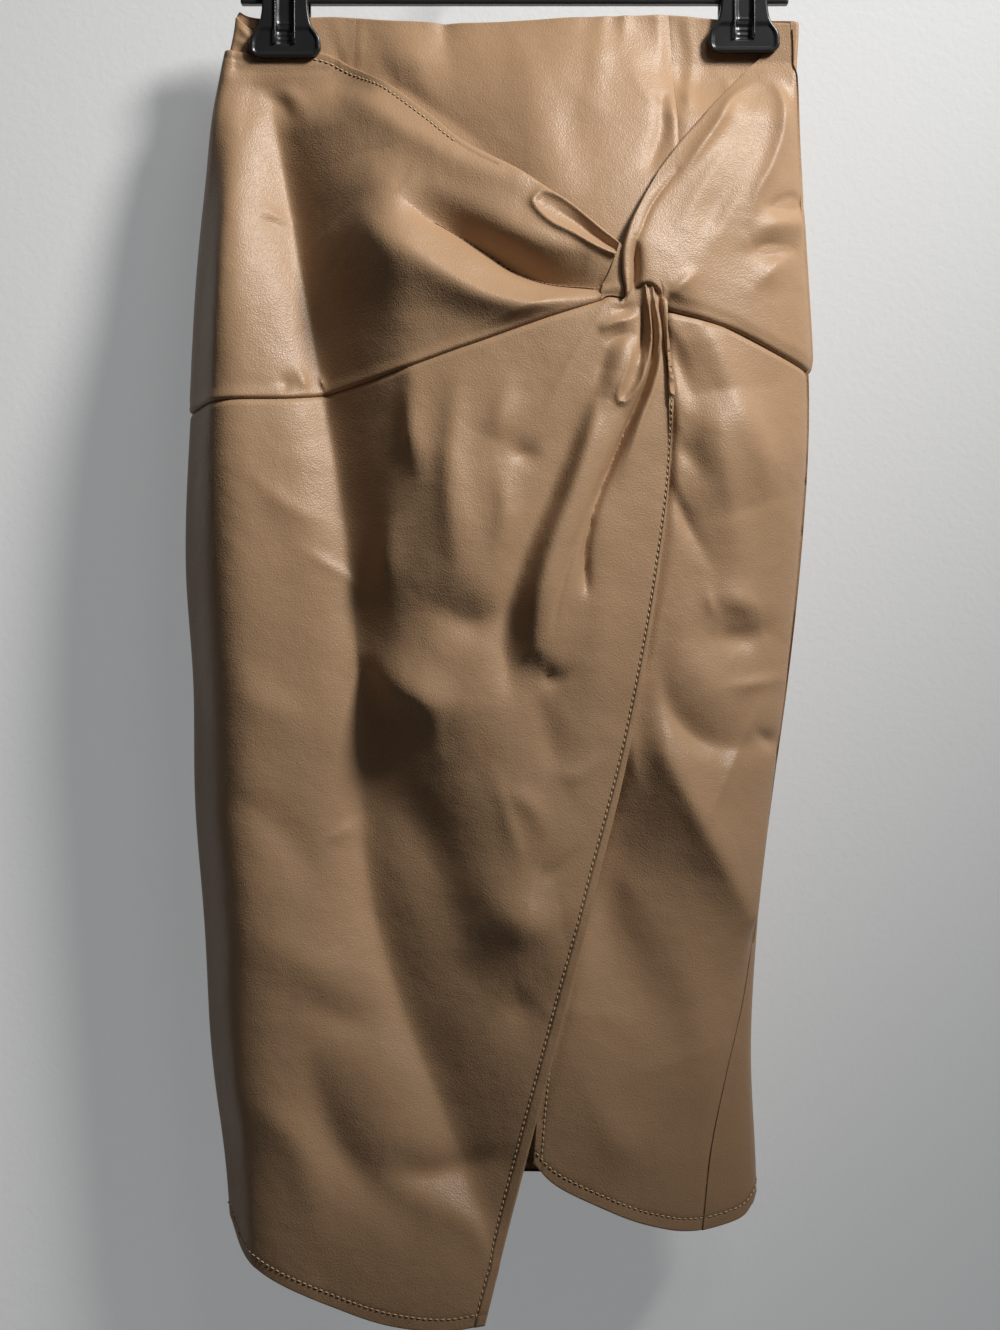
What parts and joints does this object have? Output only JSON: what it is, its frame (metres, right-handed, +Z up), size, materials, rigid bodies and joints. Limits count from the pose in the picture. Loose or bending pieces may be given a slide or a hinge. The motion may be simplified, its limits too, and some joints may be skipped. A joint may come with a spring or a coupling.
{
  "type": "skirt on a clip hanger",
  "caption": "Faux leather midi skirt with a twisted, draped front and a wrap slit, hanging from a clip hanger with a plain hook.",
  "frame": {"origin": "where the inside of the hanger's hook bears on the rail that holds it", "axes": "+Z up, the skirt's front faces -Y, +X to the right as seen from the front"},
  "size_m": [0.3859, 0.1219, 0.9278],
  "materials": {
    "faux_leather": "semi-gloss, fine soft grain",
    "black_plastic": "satin moulded black",
    "spring_steel": "blackened",
    "hook_steel": "bright drawn wire"
  },
  "bodies": {
    "root": {"waist_front_left": "faux_leather", "waist_front_centre": "faux_leather", "waist_front_right": "faux_leather", "drape_left": "faux_leather", "drape_right": "faux_leather", "twist_tuck": "faux_leather", "front_overlap": "faux_leather", "front_underlap": "faux_leather", "back": "faux_leather", "hanger_bar": "black_plastic", "hanger_hook": "hook_steel", "clip_left_front_jaw": "black_plastic", "clip_left_rear_jaw": "black_plastic", "clip_left_spring": "spring_steel", "clip_right_front_jaw": "black_plastic", "clip_right_rear_jaw": "black_plastic", "clip_right_spring": "spring_steel"}
  },
  "joints": []
}
